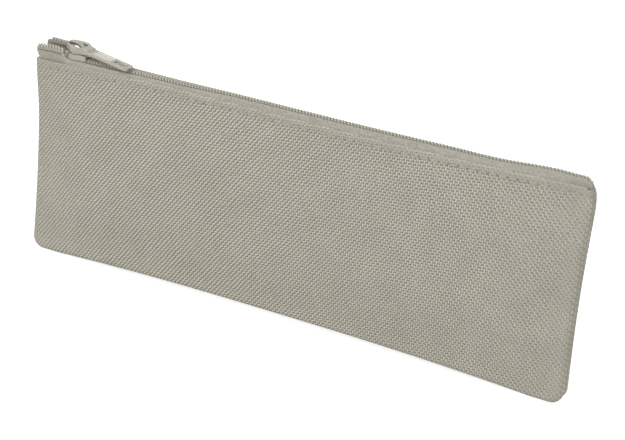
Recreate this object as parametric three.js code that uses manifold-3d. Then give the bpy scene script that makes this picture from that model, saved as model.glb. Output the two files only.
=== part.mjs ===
// A flat zipped pencil case: two coated cloth panels sewn together round three sides and turned
// right side out, with a coil zip along the top. Millimetres, +Z up, front towards -Y.
// The origin lies on the floor under the middle of the case, which stands on its bottom seam.
import * as THREE from "three";
import { mergeVertices } from "three/addons/utils/BufferGeometryUtils.js";
import Module from "manifold-3d";

const wasm = await Module();
wasm.setup();
const { clamp, degToRad, lerp, smoothstep } = THREE.MathUtils;

// Case
const CASE_LENGTH = 221; // over the side seams
const CASE_HEIGHT = 80; // floor to the top of the closed zip teeth
const CLOTH = 0.6; // coated polyester cloth
const BULGE = 5.6; // half the thickness in the middle
const BULGE_RUN = 22; // from a seam to where the face is full
const TOP_RUN = 24; // from the hem down to where the face is full
const EDGE_DEPTH = 4; // half the thickness where a face rolls into its seam
const CORNER_RADIUS = 4.5; // bottom corners, seen from the front
const SIDE_DRAW = 0.9; // how far a side seam is drawn in between its ends
const LEFT_IN = 2.1; // how far the left side's top stands inside its foot
const RIGHT_IN = 0.9; // how far the right side's foot stands inside its top
const BOTTOM_DRAW = 2.2; // how far the bottom seam is drawn up in the middle
const BOTTOM_DRAW_POWER = 2.6; // how flat the middle of that curve is
const FOOT_LENGTH = 12; // level stretch of the bottom at each end
const SEAM_ALLOWANCE = 7; // turned-in edge of each panel
const CORNER_ALLOWANCE = 3; // the same, trimmed round the bottom corners
const END_ALLOWANCE = 1.2; // the same, trimmed beside the zip
const SEAM_GAP = 0.05; // from the middle plane to each turned-in edge
const LAYER_GAP = 0.1; // between two layers of cloth sewn together
const HEM_TURN = 8; // how far the hem is turned under

// Zip
const TEETH_PITCH = 1.25;
const TEETH_WIDTH = 2.1; // one row, from the line where the rows meet
const TEETH_BITE = 0.4; // each side of a row's mean edge
const TEETH_GAP = 0.3; // between the two rows
const TEETH_THICK = 1.2;
const TEETH_SHOULDER = 0.9; // height of a row's outer side
const TAPE = 0.5; // thickness of the tape
const TAPE_EDGE = 1.2; // tape's edge, from the line where the rows meet
const TAPE_BEND = 0.45; // radius where the tape turns down
const TAPE_SHOWN = 1.5; // from the top of the tape down to the hem
const TAPE_TUCK = 9.5; // from the hem down to the tape's lower edge
const ZIP_INSET_LEFT = 2; // from the side seam to the end of the tape
const ZIP_INSET_RIGHT = 1.4;
const ZIP_STEP = 6; // longest stretch of tape between two sections
const SEAT = 0.1; // gap between pieces that rest on each other
const EAR_SPREAD = 3.4; // how far each row stands off at the parted end
const EAR_LEAN = 0.45; // share of the spread that reaches the hem
const EAR_POWER = 0.9; // how soon the rows part
const EAR_TURN = 3.4; // stretch in which a parted tape turns upright
const EAR_GAP = 0.3; // from the slider's nose to where that begins
const EAR_HEIGHT = 4; // upright tape above the hem
const EAR_SLANT_FRONT = 0.9; // how far its upper corner reaches out past the hem
const EAR_SLANT_BACK = 2;
const LEFT_RISE = 0.7; // how far the zip rises towards the parted end
const LEFT_RISE_FROM = 26; // level stretch at that end
const LEFT_RISE_RUN = 90;
const RIGHT_RISE = 1.2; // how far it rises towards the closed end
const RIGHT_RISE_FROM = 6; // level stretch at that end
const RIGHT_RISE_RUN = 44;
const HEM_SHARE = 0.5; // share of that rise which the hem takes
const DIP = 0.3; // how far the zip sags right of the middle
const DIP_AT = 32;
const DIP_RUN = 28;
const FOLD_LENGTH = 14.5; // stretch at the closed end where the zip folds flat
const FOLD_DEPTH = 1.2; // half the thickness of the folded tapes
const FOLD_LIFT = 0.3; // how far the folded tape stands up
const END_RADIUS = 4; // length of the tape's rounded corner at the closed end
const END_DROP = 2.3; // height of that corner
const TEETH_END = 1.4; // from the last tooth to the end of the tape there

// Slider
const SLIDER_FROM_END = 13.3; // from the end of the case to the slider's nose
const SLIDER_LENGTH = 9.9;
const SLIDER_PART = 6; // from the nose to where the rows begin to part
const SLIDER_PLATE = 1.2;
const SLIDER_NOSE = 4.8; // width of the upper plate at the nose
const LOWER_PLATE = 0.9;
const SLIDER_WALL = 0.55;
const WALL_START = 3.7; // from the nose to where the side walls begin
const RUN_GAP = 0.2; // running clearance round the zip
const WEDGE_START = 1; // from the nose
const WEDGE_STEP = 1;
const BRIDGE_WIDTH = 2.2;
const BRIDGE_FROM_NOSE = 0.35;
const BRIDGE_LENGTH = 7.25;
const BRIDGE_FOOT = 0.7;
const BRIDGE_FLAT = 2.7; // from its start to where its top begins to fall
const BRIDGE_WINDOW = 3.55; // clear height under the bridge
const BRIDGE_THICK = 0.7;

// Pull
const BAR_RADIUS = 0.6;
const BAR_FROM_FOOT = 0.25; // gap from the bar to the bridge's foot
const BAR_FROM_ROOF = 0.2; // gap from the bar to the bridge's roof
const PULL_THICK = 1.1; // tab
const PULL_REACH = 28.25; // bar to tip
const PULL_WIDTH = 5.2;
const PULL_TIP_RADIUS = 1.8;
const PULL_SWING = 5; // degrees, its tip towards the front
const HEAD_WIDTH = 8.7;
const HEAD_LENGTH = 8.8; // bar to where the head meets the tab
const HEAD_THICK = 2;
const HEAD_RAIL = 1.7; // width of the ring's side rails
const RING_CLEAR = 0.5; // from the bridge's far foot to the ring
const RING_WIDEST = 0.6; // share of the ring's length at which it is widest
const PANEL_FROM_TIP = 16.8; // sunk panel on the tab
const PANEL_LENGTH = 8.4;
const PANEL_DEPTH = 0.3;
const PANEL_RIM = 0.9;
const SLOT_FROM_TIP = 1.6; // slot through the tip
const SLOT_LENGTH = 5.8;
const SLOT_WIDTH = 2.1;
const REST_GAP = 0.15; // from the teeth to the resting tip

// Thread and binding
const STITCH_LENGTH = 3.5;
const STITCH_FROM_HEM = 2;
const THREAD = 0.5;
const THREAD_DIP = 0.12; // how far the thread narrows where it enters the cloth
const COIL_THREAD_WIDTH = 0.45;
const COIL_THREAD_THICK = 0.14;
const COIL_THREAD_AT = 1.55; // from the line where the rows meet
const SEAM_STITCH_AT = 2.4; // from the edge
const BINDING = 0.4; // thickness of the tape over the raw edges
const BINDING_WRAP = 3.4; // how far it covers each side
const BINDING_STITCH = 0.6; // thread's distance from the binding's edge
const CORNER_CLEAR = 3; // binding ends this far past a corner

// Steps along and across the cloth
const SIDE_STEPS = 7;
const BOTTOM_STEPS = 4; // from the parted end to the middle
const ARC_STEPS = 4;
const ROLL_ANGLES = [-50, -22, 22, 45, 68, 90].map(degToRad);
const FLAT_ANGLE = degToRad(22); // the roll is flat between these angles, where it stands
const END_STEPS = 24;

// Places worked out from the sizes
const half = CASE_LENGTH / 2;
const teethTop = CASE_HEIGHT;
const teethFoot = teethTop - TEETH_THICK;
const tapeTop = teethFoot - SEAT;
const hemTop = tapeTop - TAPE_SHOWN;
const tapeFoot = hemTop - TAPE_TUCK;
const zipLeft = -half + LEFT_IN + ZIP_INSET_LEFT;
const zipRight = half - ZIP_INSET_RIGHT;
const foldStart = zipRight - FOLD_LENGTH;
const nose = -half + SLIDER_FROM_END;
const tail = nose + SLIDER_LENGTH;
const partStart = nose + SLIDER_PART;
const rowTip = TEETH_BITE - TEETH_GAP / 2; // how far a tooth reaches past the middle
const runOut = TEETH_WIDTH + 2 * RUN_GAP + SLIDER_WALL; // flat width of the tape, clear of the slider
const tapeOut = runOut + TAPE_BEND; // outer face of the hanging tape

const COLOURS = { cloth: 0xa6a296, tape: 0xa8a497, teeth: 0x98948a, thread: 0xa39f92, metal: 0xc9c7bd };
const material = (colour, roughness, metalness) =>
  new THREE.MeshStandardMaterial({ color: colour, roughness, metalness });
const cloth = material(COLOURS.cloth, 0.9, 0);
const tapeCloth = material(COLOURS.tape, 0.85, 0);
const nylon = material(COLOURS.teeth, 0.55, 0);
const thread = material(COLOURS.thread, 0.8, 0);
const metal = material(COLOURS.metal, 0.35, 0.9);

const pencilCase = new THREE.Group();
const FRONT = -1;
const BACK = 1;

function add(name, geometry, finish, parent = pencilCase) {
  const mesh = new THREE.Mesh(geometry, finish);
  mesh.name = name;
  parent.add(mesh);
}

// Mesh helpers

// A closed solid from points and triangles, turned round if its faces point inwards.
function solidGeometry(points, triangles) {
  const turned = triangles.map(([a, b, c]) => [a, c, b]);
  const volume = triangles.reduce((sum, [a, b, c]) => {
    const cross = new THREE.Vector3().crossVectors(points[b], points[c]);
    return sum + points[a].dot(cross);
  }, 0);
  return new THREE.BufferGeometry()
    .setFromPoints(points)
    .setIndex((volume < 0 ? turned : triangles).flat());
}

// A sheet given by its two faces, which share one set of triangles, closed along its edge.
function sheetGeometry(outer, inner, triangles) {
  const count = outer.length;
  const edges = new Map();
  for (const tri of triangles) {
    tri.forEach((a, k) => {
      const b = tri[(k + 1) % 3];
      if (!edges.delete(`${b},${a}`)) edges.set(`${a},${b}`, [a, b]);
    });
  }
  const back = triangles.map(([a, b, c]) => [a + count, c + count, b + count]);
  const rim = [...edges.values()].flatMap(([a, b]) => [
    [b, a, a + count],
    [b, a + count, b + count],
  ]);
  return solidGeometry([...outer, ...inner], [...triangles, ...back, ...rim]);
}

// The triangles of a grid whose point numbers come from index(row, column).
function gridTriangles(rows, columns, index) {
  const triangles = [];
  for (let r = 0; r < rows - 1; r++) {
    for (let c = 0; c < columns - 1; c++) {
      const [a, b] = [index(r, c), index(r, c + 1)];
      const [d, e] = [index(r + 1, c), index(r + 1, c + 1)];
      triangles.push([a, b, e], [a, e, d]);
    }
  }
  return triangles;
}

// A solid through a row of sections, each a ring of the same number of points, with flat ends.
function loftGeometry(sections) {
  const ring = sections[0].length;
  const last = sections.length - 1;
  const index = (s, k) => s * ring + (k % ring);
  const triangles = gridTriangles(sections.length, ring + 1, index);
  for (let k = 1; k < ring - 1; k++) {
    triangles.push([0, k + 1, k]);
    triangles.push([index(last, 0), index(last, k), index(last, k + 1)]);
  }
  return solidGeometry(sections.flat(), triangles);
}

function toSolid(geometry) {
  const bare = geometry.index ? geometry.toNonIndexed() : geometry.clone();
  for (const name of Object.keys(bare.attributes)) {
    if (name !== "position") bare.deleteAttribute(name);
  }
  const merged = mergeVertices(bare, 1e-4);
  return new wasm.Manifold(
    new wasm.Mesh({
      numProp: 3,
      vertProperties: merged.attributes.position.array,
      triVerts: new Uint32Array(merged.index.array),
    }),
  );
}

function fromSolid(solid) {
  const mesh = solid.getMesh();
  return new THREE.BufferGeometry()
    .setAttribute("position", new THREE.BufferAttribute(mesh.vertProperties, 3))
    .setIndex(new THREE.BufferAttribute(mesh.triVerts, 1));
}

// A flat outline raised from one height to another.
function raise(shape, from, to, curveSegments = 6) {
  const settings = { depth: to - from, bevelEnabled: false, curveSegments };
  return new THREE.ExtrudeGeometry(shape, settings).translate(0, 0, from);
}

// Outline of the panels

// How far the rows of teeth stand off from the middle, as they part round the slider's wedge.
const spread = (x) => EAR_SPREAD * clamp((partStart - x) / (partStart - zipLeft), 0, 1) ** EAR_POWER;
const upright = (x) => smoothstep(nose - EAR_GAP - x, 0, EAR_TURN);
const fold = (x) => smoothstep(x, foldStart, zipRight);

// How the zip's height changes along the case.
const riseLeft = (x) => {
  const start = half - LEFT_RISE_FROM;
  return LEFT_RISE * smoothstep(-x, start - LEFT_RISE_RUN, start);
};
const riseRight = (x) => {
  const start = half - RIGHT_RISE_FROM;
  return RIGHT_RISE * smoothstep(x, start - RIGHT_RISE_RUN, start);
};
const dip = (x) => DIP * Math.exp(-(((x - DIP_AT) / DIP_RUN) ** 2));
const rise = (x) => riseLeft(x) + riseRight(x) - dip(x);
const hemLine = (x) => hemTop + riseLeft(x) + HEM_SHARE * riseRight(x) - dip(x);
const tapeAtHem = (x) => lerp(tapeOut + EAR_LEAN * spread(x), FOLD_DEPTH, fold(x));
const hemLayers = 2 * SEAT + LAYER_GAP + 2 * CLOTH; // from a tape's face to the outside of the hem
const hemDepth = (x) => tapeAtHem(x) + hemLayers;

const bottomAt = (x) => {
  const share = clamp(Math.abs(x) / (half - FOOT_LENGTH), 0, 1);
  return BOTTOM_DRAW * (1 - share ** BOTTOM_DRAW_POWER);
};
const sideAt = (z, sign) => {
  const share = clamp((z - CORNER_RADIUS) / (hemTop - CORNER_RADIUS), 0, 1);
  const inside = sign < 0 ? LEFT_IN * share : RIGHT_IN * (1 - share);
  return half - SIDE_DRAW * Math.sin(Math.PI * share) - inside;
};

// One half of the seam's line, from the top of a side down round the corner to the middle.
function halfLine(sign) {
  const line = [];
  const top = hemLine(sign * half);
  for (let k = 0; k < SIDE_STEPS; k++) {
    const z = lerp(top, CORNER_RADIUS, k / SIDE_STEPS);
    line.push({ x: sign * sideAt(z, sign), z, part: "side" });
  }
  const centre = sideAt(CORNER_RADIUS, sign) - CORNER_RADIUS;
  for (let k = 0; k <= ARC_STEPS; k++) {
    const angle = (Math.PI / 2) * (k / ARC_STEPS);
    const x = centre + CORNER_RADIUS * Math.cos(angle);
    line.push({ x: sign * x, z: CORNER_RADIUS * (1 - Math.sin(angle)), part: "corner" });
  }
  const foot = half - FOOT_LENGTH;
  const columns = [foot, (foot - partStart) / 2];
  for (let k = 0; k <= BOTTOM_STEPS; k++) columns.push(-partStart * (1 - k / BOTTOM_STEPS));
  for (const x of columns) line.push({ x: sign * x, z: bottomAt(x), part: "bottom" });
  return line;
}

// The seam's line, from the top of the left side round the bottom to the top of the right side.
function seamLine() {
  const line = [...halfLine(-1), ...halfLine(1).slice(0, -1).reverse()];
  line.forEach((p, k) => {
    const before = line[Math.max(k - 1, 0)];
    const after = line[Math.min(k + 1, line.length - 1)];
    p.inward = new THREE.Vector2(before.z - after.z, after.x - before.x).normalize();
  });
  return line;
}

// Half the thickness of the case at a point of a face.
function faceDepth(x, z) {
  const fromSide = sideAt(z, Math.sign(x)) - Math.abs(x) - EDGE_DEPTH / 2;
  const fromBottom = z - bottomAt(x) - EDGE_DEPTH / 2;
  const full = smoothstep(fromSide, 0, BULGE_RUN) * smoothstep(fromBottom, 0, BULGE_RUN);
  const face = lerp(EDGE_DEPTH, BULGE, full);
  return lerp(hemDepth(x), face, smoothstep(hemLine(x) - z, 0, TOP_RUN));
}

function allowanceAt(point) {
  if (point.part === "corner") return CORNER_ALLOWANCE;
  return point.part === "side" && point.z > tapeFoot - SEAM_ALLOWANCE ? END_ALLOWANCE : SEAM_ALLOWANCE;
}

// The roll of the cloth from the turned-in edge out and round to the face, as [inset, depth] pairs
// for the outer and the inner face of the cloth.
function rollProfile(depth, allowance) {
  const first = ROLL_ANGLES[0];
  const radius = (depth - SEAM_GAP) / (1 - Math.sin(first));
  const centre = depth - radius;
  const inset = (r, angle) => radius * Math.cos(FLAT_ANGLE) - r * Math.cos(angle);
  const innerRadius = radius - CLOTH;
  const innerFirst = Math.asin(clamp((SEAM_GAP + CLOTH - centre) / innerRadius, -1, 0));
  const innerAngle = (angle) => Math.max(angle, innerFirst);
  const outer = ROLL_ANGLES.map((a) => [inset(radius, a), centre + radius * Math.sin(a)]);
  const inner = ROLL_ANGLES.map((a) => {
    const turned = innerAngle(a);
    return [inset(innerRadius, turned), centre + innerRadius * Math.sin(turned)];
  });
  return {
    outer: [[allowance, SEAM_GAP], ...outer],
    inner: [[allowance, SEAM_GAP + CLOTH], ...inner],
  };
}

// Panels

function panelGeometry(side) {
  const line = seamLine();
  const outer = [];
  const inner = [];
  const put = (list, x, depth, z) => list.push(new THREE.Vector3(x, side * depth, z));
  const steps = ROLL_ANGLES.length + 1;
  for (const p of line) {
    const face = faceDepth(p.x, p.z);
    const profile = rollProfile(face, allowanceAt(p));
    profile.outer.forEach(([d, y]) => put(outer, p.x + p.inward.x * d, y, p.z + p.inward.y * d));
    profile.inner.forEach(([d, y]) => put(inner, p.x + p.inward.x * d, y, p.z + p.inward.y * d));
  }
  const strip = (p, k) => p * steps + k;
  const triangles = gridTriangles(steps, line.length, (k, p) => strip(p, k));

  // The face is a patch inside the last ring of the roll.
  const rowCount = SIDE_STEPS + ARC_STEPS / 2;
  const columnCount = line.length - 1 - 2 * rowCount;
  const ringPoint = (p) => outer[strip(p, steps - 1)];
  const left = (r) => ringPoint(rowCount - r);
  const right = (r) => ringPoint(rowCount + columnCount + r);
  const bottom = (c) => ringPoint(rowCount + c);
  const top = (u) => {
    const p = left(rowCount).clone().lerp(right(rowCount), u);
    return p.setZ(u > 0 && u < 1 ? hemLine(p.x) : p.z);
  };
  const share = (c) => (bottom(c).x - bottom(0).x) / (bottom(columnCount).x - bottom(0).x);
  const patch = (r, c) => {
    const [u, v] = [share(c), r / rowCount];
    const across = left(r).clone().lerp(right(r), u);
    const up = bottom(c).clone().lerp(top(u), v);
    const low = left(0).clone().lerp(right(0), u);
    return across.add(up).sub(low.lerp(top(u), v));
  };
  const faceIndex = new Map();
  for (let r = 0; r <= rowCount; r++) {
    for (let c = 0; c <= columnCount; c++) {
      let number = outer.length;
      if (r === 0) number = strip(rowCount + c, steps - 1);
      else if (c === 0) number = strip(rowCount - r, steps - 1);
      else if (c === columnCount) number = strip(rowCount + columnCount + r, steps - 1);
      else {
        const { x, z } = patch(r, c);
        const depth = faceDepth(x, z);
        put(outer, x, depth, z);
        put(inner, x, depth - CLOTH, z);
      }
      faceIndex.set(`${r},${c}`, number);
    }
  }
  const face = (r, c) => faceIndex.get(`${r},${c}`);
  triangles.push(...gridTriangles(rowCount + 1, columnCount + 1, face));

  // The hem turns over at the top and hangs down inside the face.
  const hemRows = [
    { z: 0, into: 0.5, back: 0.5, backZ: CLOTH },
    { z: CLOTH / 2, into: 1, back: 0.5, backZ: CLOTH },
    { z: HEM_TURN, into: 1, back: 0.5, backZ: HEM_TURN },
  ];
  const layers = 2 * CLOTH + LAYER_GAP;
  const rim = (c) => outer[face(rowCount, c)];
  hemRows.forEach((row, k) => {
    for (let c = 0; c <= columnCount; c++) {
      const { x } = rim(c);
      const lower = k === 2 ? HEM_TURN : 0;
      const fold = hemLine(x) + CLOTH / 2;
      const depth = Math.min(faceDepth(x, hemLine(x) - lower), faceDepth(x, hemLine(x)));
      faceIndex.set(`${rowCount + 1 + k},${c}`, outer.length);
      put(outer, x, depth - row.into * layers, fold - row.z);
      const middle = CLOTH + LAYER_GAP * (k === 0 ? 0.5 : 1);
      put(inner, x, depth - middle, fold - row.backZ);
    }
  });
  triangles.push(...gridTriangles(hemRows.length + 1, columnCount + 1, (r, c) => face(rowCount + r, c)));
  return sheetGeometry(outer, inner, triangles);
}

add("front_panel", panelGeometry(FRONT), cloth);
add("back_panel", panelGeometry(BACK), cloth);

// Zip tapes and teeth

// The upper, outer face of a tape from its edge beside the teeth to its lower edge, as [depth, z].
function tapeSection(x) {
  const [s, u, f] = [spread(x), upright(x), fold(x)];
  const hem = hemLine(x);
  const level = tapeTop + rise(x);
  const foot = hem - TAPE_TUCK;
  const bend = TAPE_BEND * Math.SQRT1_2;
  const lean = tapeOut + EAR_LEAN * s;
  const lower = Math.min(lean, faceDepth(x, foot) - hemLayers);
  const hang = runOut - TAPE_EDGE;
  const over = [
    [TAPE_EDGE + s, level],
    [runOut + s, level],
    [runOut + s + bend, level - TAPE_BEND + bend],
    [tapeOut + s, level - TAPE_BEND],
    [lean, hem],
    [lower, foot],
  ];
  const standing = standingSection(lean, hem, EAR_HEIGHT, hang);
  standing[5] = [lower, foot];
  const shut = standingSection(FOLD_DEPTH, hem, level + FOLD_LIFT - hem, hang);
  shut[5] = [FOLD_DEPTH, foot];
  const drop = endDrop(x);
  const top = lerp(lerp(level, hem + EAR_HEIGHT, u), level + FOLD_LIFT, f);
  return over.map(([y, z], k) => {
    const height = lerp(lerp(z, standing[k][1], u), shut[k][1], f);
    const share = clamp((height - hem) / (top - hem), 0, 1);
    const depth = lerp(lerp(y, standing[k][0], u), shut[k][0], f);
    return new THREE.Vector2(depth, height - drop * share);
  });
}

// A tape that stands straight up from the hem.
function standingSection(depth, hem, height, hang) {
  const start = hem + height - hang;
  const at = (share) => [depth, lerp(start, hem, share)];
  return [[depth, hem + height], at(0), at(1 / 3), at(2 / 3), [depth, hem]];
}

// The tape's corner at the closed end is rounded.
function endDrop(x) {
  const past = clamp(x - (zipRight - END_RADIUS), 0, END_RADIUS) / END_RADIUS;
  return END_DROP * (1 - Math.sqrt(1 - past ** 2));
}

function zipStations() {
  const stations = [];
  const middle = Math.ceil((foldStart - partStart) / ZIP_STEP);
  for (let k = 0; k < END_STEPS; k++) stations.push(lerp(zipLeft, partStart, k / END_STEPS));
  for (let k = 0; k < middle; k++) stations.push(lerp(partStart, foldStart, k / middle));
  for (let k = 0; k <= END_STEPS; k++) stations.push(lerp(foldStart, zipRight, k / END_STEPS));
  return stations;
}

// The same line of points, moved in by a thickness, square to the line.
function offsetSection(points, by) {
  return points.map((p, k) => {
    const before = points[Math.max(k - 1, 0)];
    const after = points[Math.min(k + 1, points.length - 1)];
    const along = after.clone().sub(before).normalize();
    return new THREE.Vector2(p.x + along.y * by, p.y - along.x * by);
  });
}

// A point of a section, moved out along the zip as the parted tape's upper corner reaches out.
function placed(side, x, p) {
  const slant = side === FRONT ? EAR_SLANT_FRONT : EAR_SLANT_BACK;
  const height = Math.max(p.y - hemLine(x), 0) / EAR_HEIGHT;
  return new THREE.Vector3(x - slant * upright(x) * height, side * p.x, p.y);
}

function tapeGeometry(side) {
  const outer = [];
  const inner = [];
  const stations = zipStations();
  for (const x of stations) {
    const section = tapeSection(x);
    outer.push(...section.map((p) => placed(side, x, p)));
    inner.push(...offsetSection(section, TAPE).map((p) => placed(side, x, p)));
  }
  const width = outer.length / stations.length;
  return sheetGeometry(outer, inner, gridTriangles(stations.length, width, (r, c) => r * width + c));
}

// A point of a row of teeth: across from the line where the rows meet, up from the tape's face.
function onTape(side, x, across, above) {
  const [edge, run] = tapeSection(x);
  const along = run.clone().sub(edge).normalize();
  const up = new THREE.Vector2(-along.y, along.x);
  const p = edge.clone().addScaledVector(along, across - TAPE_EDGE).addScaledVector(up, above);
  return placed(side, x, p);
}

// One row of interlocking teeth: its edge zigzags, half a pitch later on the other row.
function teethGeometry(side) {
  const count = 2 * Math.floor((zipRight - TEETH_END - zipLeft) / TEETH_PITCH);
  const sections = [];
  for (let k = 0; k <= count; k++) {
    const x = zipLeft + (k * TEETH_PITCH) / 2;
    const out = k % 2 === (side === FRONT ? 0 : 1);
    const edge = TEETH_GAP / 2 + (out ? -TEETH_BITE : TEETH_BITE);
    sections.push([
      onTape(side, x, edge, SEAT),
      onTape(side, x, TEETH_WIDTH, SEAT),
      onTape(side, x, TEETH_WIDTH, SEAT + TEETH_SHOULDER),
      onTape(side, x, edge + TEETH_BITE, SEAT + TEETH_THICK),
    ]);
  }
  return loftGeometry(sections);
}

// The thread that sews a row of teeth to its tape lies along the row's sloping back.
function coilThreadGeometry(side) {
  const low = COIL_THREAD_AT - COIL_THREAD_WIDTH / 2;
  const high = COIL_THREAD_AT + COIL_THREAD_WIDTH / 2;
  const slope = (TEETH_THICK - TEETH_SHOULDER) / (TEETH_WIDTH - TEETH_GAP / 2 - 2 * TEETH_BITE);
  const back = (across) => 1.8 * SEAT + TEETH_SHOULDER + slope * (TEETH_WIDTH - across);
  const stations = zipStations().filter((x) => x < zipRight - TEETH_END);
  const sections = stations.map((x) => [
    onTape(side, x, low, back(low)),
    onTape(side, x, high, back(high)),
    onTape(side, x, high, back(high) + COIL_THREAD_THICK),
    onTape(side, x, low, back(low) + COIL_THREAD_THICK),
  ]);
  return loftGeometry(sections);
}

for (const [side, word] of [
  [FRONT, "front"],
  [BACK, "back"],
]) {
  add(`zip_tape_${word}`, tapeGeometry(side), tapeCloth);
  add(`zip_coil_${word}`, teethGeometry(side), nylon);
  add(`coil_thread_${word}`, coilThreadGeometry(side), thread);
}

// Slider

// An outline along X whose half width is given at each station, closed across both ends.
function taperShape(stations, halfWidth) {
  const points = stations.map((x) => new THREE.Vector2(x, halfWidth(x)));
  const mirrored = points.map((p) => new THREE.Vector2(p.x, -p.y)).reverse();
  return new THREE.Shape([...points, ...mirrored]);
}

const sliderTape = tapeTop + rise(nose); // height of the tape inside the slider
const sliderRoof = teethTop + rise(nose) + RUN_GAP;
const plateTop = sliderRoof + SLIDER_PLATE;

function sliderGeometry() {
  const floor = sliderTape - TAPE - RUN_GAP;
  const wallFoot = sliderTape + 2 * RUN_GAP;
  const wallStart = nose + WALL_START;
  const corner = SLIDER_WALL;
  const channel = (x) => TEETH_WIDTH + spread(x) + RUN_GAP;
  const body = (x) => {
    const full = channel(Math.max(x, wallStart)) + SLIDER_WALL;
    const narrowed = lerp(SLIDER_NOSE / 2, full, smoothstep(x, nose, wallStart));
    return narrowed - Math.max(0, nose + corner - x) - Math.max(0, x - tail + corner);
  };
  const stations = [nose, nose + corner];
  for (let k = 1; k <= 6; k++) stations.push(lerp(nose + corner, partStart, k / 6));
  stations.push(tail - corner, tail);
  const plate = toSolid(raise(taperShape(stations, body), sliderRoof, plateTop));

  // The side walls hang from the upper plate, with the channel for the rows between them.
  const past = SLIDER_WALL;
  const sunk = SLIDER_PLATE / 2;
  const wallStations = [wallStart, ...stations.filter((x) => x > wallStart + past)];
  const channelStations = [wallStart - past, ...wallStations, tail + past];
  const walls = toSolid(raise(taperShape(wallStations, body), wallFoot, sliderRoof + sunk)).subtract(
    toSolid(raise(taperShape(channelStations, channel), wallFoot - past, sliderRoof)),
  );
  const lowerHalf = tapeOut - TAPE - RUN_GAP;
  const lowerWidth = (x) => Math.min(body(x), lowerHalf);
  const lower = toSolid(raise(taperShape(stations, lowerWidth), floor - LOWER_PLATE, floor));
  const wedgeHalf = (x) => spread(x) - rowTip - RUN_GAP;
  const wedgeStations = [nose + WEDGE_START];
  for (let x = nose + WEDGE_START + WEDGE_STEP; wedgeHalf(x) > RUN_GAP / 2; x += WEDGE_STEP) {
    wedgeStations.push(x);
  }
  const deep = LOWER_PLATE / 2;
  const wedge = toSolid(raise(taperShape(wedgeStations, wedgeHalf), floor - deep, sliderRoof + deep));
  return fromSolid(plate.add(walls).add(lower).add(wedge).add(toSolid(bridgeGeometry())));
}

// The bridge over the slider's upper plate, which the pull's bar passes under.
function bridgeGeometry() {
  const start = nose + BRIDGE_FROM_NOSE;
  const end = start + BRIDGE_LENGTH;
  const foot = plateTop - SLIDER_PLATE / 2;
  const windowTop = plateTop + BRIDGE_WINDOW;
  const top = windowTop + BRIDGE_THICK;
  const [windowStart, windowEnd] = [start + BRIDGE_FOOT, end - BRIDGE_FOOT];
  const bend = BRIDGE_THICK;
  const fall = start + BRIDGE_FLAT;
  const outline = new THREE.Shape();
  outline.moveTo(start, foot);
  outline.lineTo(start, top - 3 * bend);
  outline.quadraticCurveTo(start, top, start + 3 * bend, top);
  outline.lineTo(fall, top);
  outline.quadraticCurveTo(end, top, end, plateTop + bend);
  outline.lineTo(end, foot);
  outline.lineTo(windowEnd, foot);
  outline.lineTo(windowEnd, plateTop);
  outline.quadraticCurveTo(windowEnd, windowTop, fall, windowTop);
  outline.lineTo(windowStart + bend, windowTop);
  outline.quadraticCurveTo(windowStart, windowTop, windowStart, windowTop - bend);
  outline.lineTo(windowStart, foot);
  return raise(outline, -BRIDGE_WIDTH / 2, BRIDGE_WIDTH / 2).rotateX(Math.PI / 2);
}

add("slider_body", sliderGeometry(), metal);

// Pull, about its bar: +X towards the tip, +Z its upper face

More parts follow.
